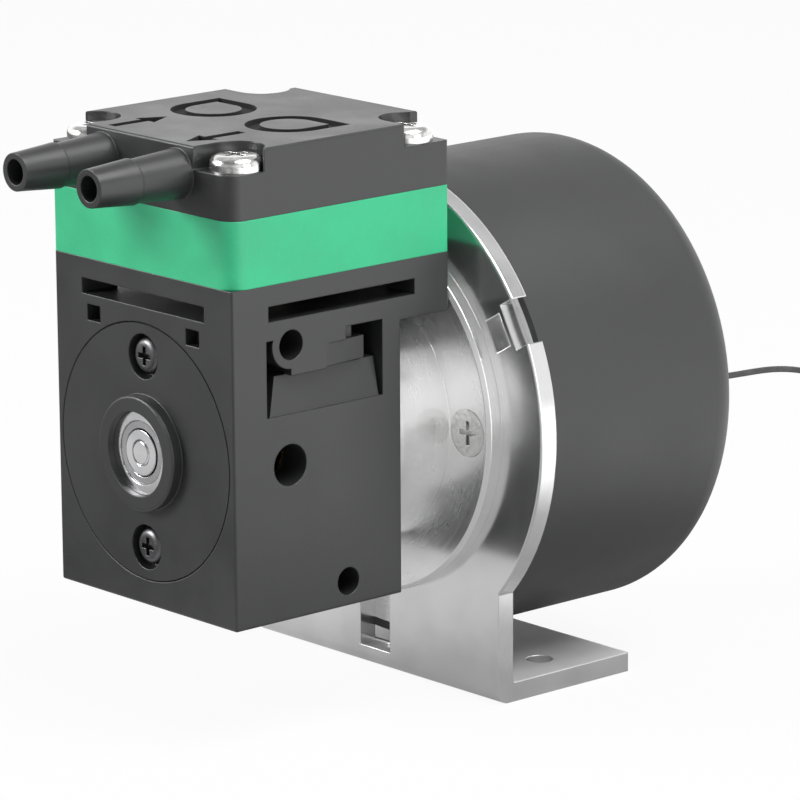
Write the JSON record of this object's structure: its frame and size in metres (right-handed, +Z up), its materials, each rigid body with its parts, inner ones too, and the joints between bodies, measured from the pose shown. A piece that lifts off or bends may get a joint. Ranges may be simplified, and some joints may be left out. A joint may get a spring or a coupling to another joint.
{
  "type": "diaphragm vacuum pump",
  "caption": "Small diaphragm vacuum pump: square black head with hose barbs and a green plate over a crankcase, driven by a round black motor, on a bent steel foot bracket.",
  "frame": {"origin": "middle of the line between the two foot holes, on the underside of the bracket's foot", "axes": "+X across the pump towards the crankcase's open side recess, +Y back along the shaft from the pump to the motor, +Z up"},
  "size_m": [0.0814, 0.1935, 0.0915],
  "materials": {
    "black_housing": "fine moulded matte",
    "green_plate": "satin moulded",
    "aluminium": "turned, satin",
    "zinc_plate": "bright zinc plate",
    "black_can": "satin black coat",
    "bright_steel": "bright nickel plate",
    "dark_steel": "dark zinc plate",
    "bearing_steel": "ground",
    "shield_steel": "pressed",
    "cage_plastic": "moulded",
    "rod_plastic": "moulded",
    "brass": "turned",
    "black_rubber": "soft matte",
    "copper": "lacquered wire",
    "lamination": "stacked sheet",
    "magnet": "sintered",
    "board": "laminate",
    "lead_jacket": "smooth",
    "connector_white": "moulded",
    "tie": "moulded"
  },
  "bodies": {
    "housing": {"adapter_flange": "aluminium", "bearing_cover": "black_housing", "bearing_cover_screws": "dark_steel", "circuit_board": "board", "connector_pins": "bright_steel", "crankcase": "black_housing", "crankcase_screws": "dark_steel", "diaphragm": "black_rubber", "flange_screws": "bright_steel", "front_bearing_outer_ring": "bearing_steel", "front_bearing_shields": "shield_steel", "head_cover": "black_housing", "head_screws": "bright_steel", "intermediate_plate": "green_plate", "lead_coil": "lead_jacket", "lead_connector": "connector_white", "lead_grommet": "black_rubber", "lead_tail": "lead_jacket", "lead_tie": "tie", "motor_can": "black_can", "motor_front_bearing_outer_ring": "bearing_steel", "motor_front_bearing_shields": "shield_steel", "motor_front_plate": "aluminium", "motor_lead": "lead_jacket", "motor_rear_bearing_outer_ring": "bearing_steel", "motor_rear_bearing_shields": "shield_steel", "mounting_bracket": "zinc_plate", "stator_coils": "copper", "stator_core": "lamination", "valve_sheet": "black_rubber"},
    "crank": {"motor_shaft": "bearing_steel", "eccentric": "brass", "eccentric_grub_screw": "dark_steel", "front_bearing_inner_ring": "bearing_steel", "rod_bearing_inner_ring": "bearing_steel", "motor_front_bearing_inner_ring": "bearing_steel", "motor_rear_bearing_inner_ring": "bearing_steel", "rotor_cup": "dark_steel", "ring_magnet": "magnet", "shaft_clip": "dark_steel"},
    "rod": {"connecting_rod": "rod_plastic", "rod_bearing_outer_ring": "bearing_steel", "rod_bearing_shields": "shield_steel", "diaphragm_clamp_disc": "aluminium", "diaphragm_clamp_screw": "bright_steel"},
    "front_cage": {"front_bearing_cage": "cage_plastic", "front_bearing_balls": "bearing_steel"},
    "rod_cage": {"rod_bearing_cage": "cage_plastic", "rod_bearing_balls": "bearing_steel"},
    "motor_front_cage": {"motor_front_bearing_cage": "cage_plastic", "motor_front_bearing_balls": "bearing_steel"},
    "motor_rear_cage": {"motor_rear_bearing_cage": "cage_plastic", "motor_rear_bearing_balls": "bearing_steel"},
    "inlet_valve": {"inlet_flap": "black_rubber"},
    "outlet_valve": {"outlet_flap": "black_rubber"}
  },
  "joints": [
    {"name": "shaft_spin", "type": "hinge", "parent": "housing", "child": "crank", "pos_m": [0, -0.03, 0.043], "axis": [0, 1, 0], "continuous": true},
    {"name": "rod_pivot", "type": "hinge", "parent": "crank", "child": "rod", "pos_m": [0, -0.03955, 0.0445], "axis": [0, 1, 0], "continuous": true, "deforming": ["diaphragm"]},
    {"name": "front_cage_spin", "type": "hinge", "parent": "housing", "child": "front_cage", "pos_m": [0, -0.0593, 0.043], "axis": [0, 1, 0], "continuous": true},
    {"name": "rod_cage_spin", "type": "hinge", "parent": "crank", "child": "rod_cage", "pos_m": [0, -0.03955, 0.0445], "axis": [0, 1, 0], "continuous": true},
    {"name": "motor_front_cage_spin", "type": "hinge", "parent": "housing", "child": "motor_front_cage", "pos_m": [0, -0.0094, 0.043], "axis": [0, 1, 0], "continuous": true},
    {"name": "motor_rear_cage_spin", "type": "hinge", "parent": "housing", "child": "motor_rear_cage", "pos_m": [0, 0.0166, 0.043], "axis": [0, 1, 0], "continuous": true},
    {"name": "inlet_flap_hinge", "type": "hinge", "parent": "housing", "child": "inlet_valve", "pos_m": [-0.00875, -0.03395, 0.0812], "axis": [1, 0, 0], "range_deg": [0, 12], "stiffness_Nm_per_rad": 0.00005},
    {"name": "outlet_flap_hinge", "type": "hinge", "parent": "housing", "child": "outlet_valve", "pos_m": [0.00875, -0.03395, 0.0819], "axis": [-1, 0, 0], "range_deg": [0, 12], "stiffness_Nm_per_rad": 0.00005}
  ],
  "couplings": [
    {"joint": "rod_pivot", "follows": "shaft_spin", "ratio": -1},
    {"joint": "front_cage_spin", "follows": "shaft_spin", "ratio": 0.3647},
    {"joint": "rod_cage_spin", "follows": "shaft_spin", "ratio": -0.5727},
    {"joint": "motor_front_cage_spin", "follows": "shaft_spin", "ratio": 0.3762},
    {"joint": "motor_rear_cage_spin", "follows": "shaft_spin", "ratio": 0.3762}
  ]
}
